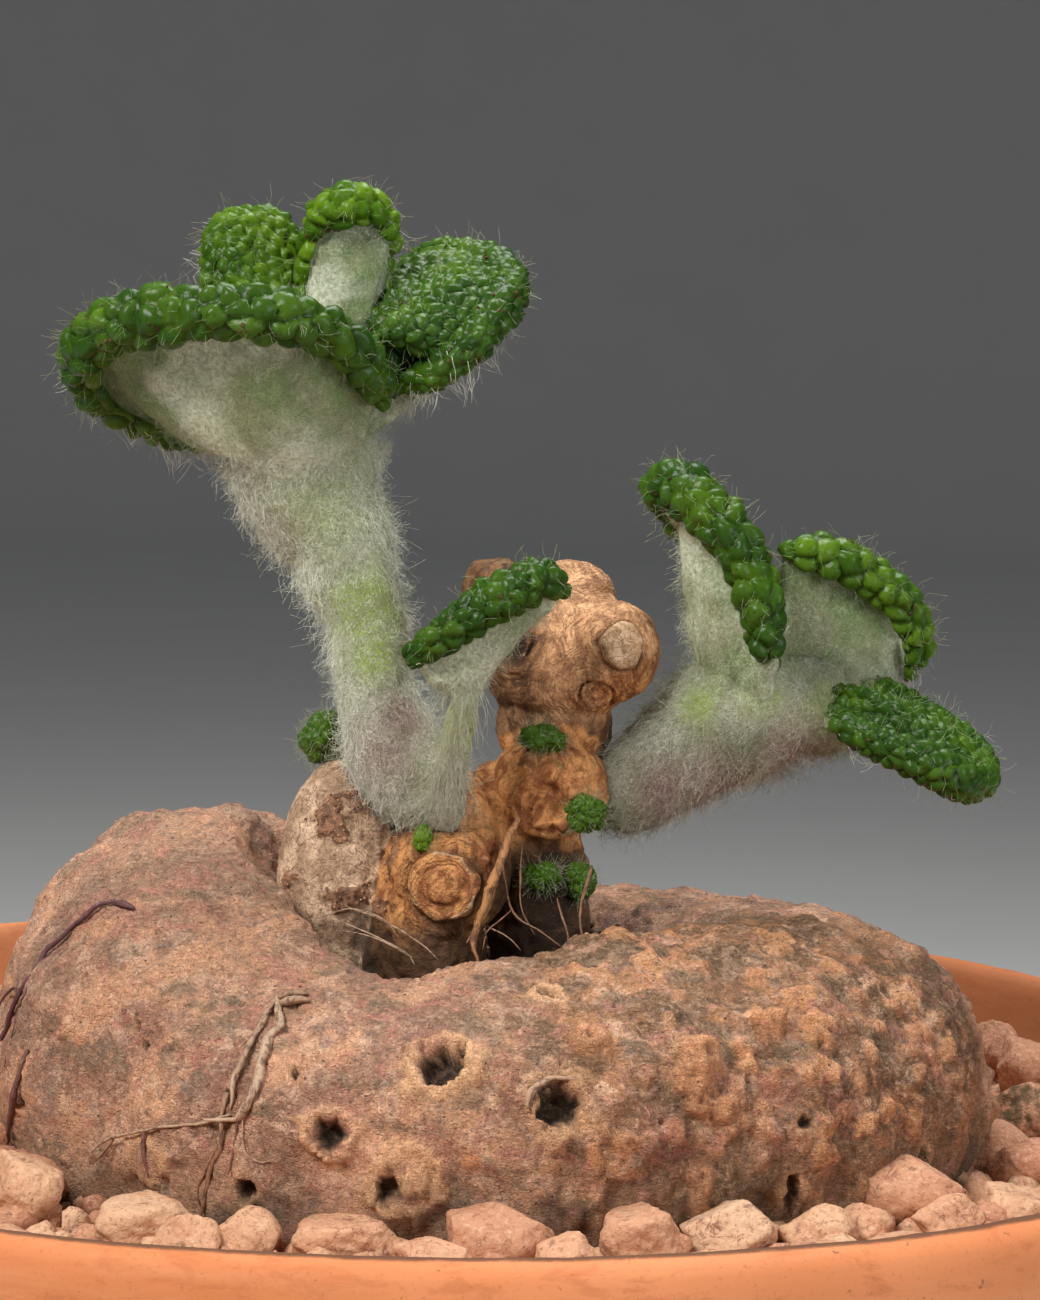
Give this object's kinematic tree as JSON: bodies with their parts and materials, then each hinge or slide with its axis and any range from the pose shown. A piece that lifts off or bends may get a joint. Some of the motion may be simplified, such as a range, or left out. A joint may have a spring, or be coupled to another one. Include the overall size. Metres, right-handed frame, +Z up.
{
  "type": "potted sinningia bullata",
  "caption": "Caudex plant in a shallow terracotta pan: a lumpy tuber with a hollow crown on gravel, woolly stems and blistered leaves whose margins roll back.",
  "frame": {"origin": "on the pot's axis, at the flat surface that the pot stands on", "axes": "+Z up; -Y towards the viewer, so the front of the plant faces -Y and its left stem leans to -X"},
  "size_m": [0.16, 0.16, 0.1409],
  "materials": {
    "terracotta": "bare fired clay, matte, with a line of dirt inside the rim",
    "soil": "matte peaty potting mix, hidden under the gravel",
    "gravel": "matte cream and pink pebbles",
    "tuber": "matte cork-like skin, mottled brown, pink and grey-green",
    "stump": "matte dead woody tissue with pale ring scars",
    "wool": "dense white to grey-green hair over a pale green stem",
    "leaf": "deep green living leaf, slightly glossy on the blisters",
    "bud": "soft green, finely hairy"
  },
  "bodies": {
    "root": {"pot": "terracotta", "soil": "soil", "gravel": "gravel", "tuber": "tuber", "old_stumps": "stump", "stem_left": "wool", "stem_right": "wool", "stem_middle": "wool", "leaf_left_front": "leaf", "leaf_left_right": "leaf", "leaf_left_middle": "leaf", "leaf_left_back": "leaf", "leaf_right_front": "leaf", "leaf_right_upper": "leaf", "leaf_right_lower": "leaf", "leaf_middle": "leaf", "bud_left": "bud", "bud_upper": "bud", "bud_right": "bud", "bud_low_left": "bud", "bud_low_right": "bud", "sprout": "bud"}
  },
  "joints": []
}
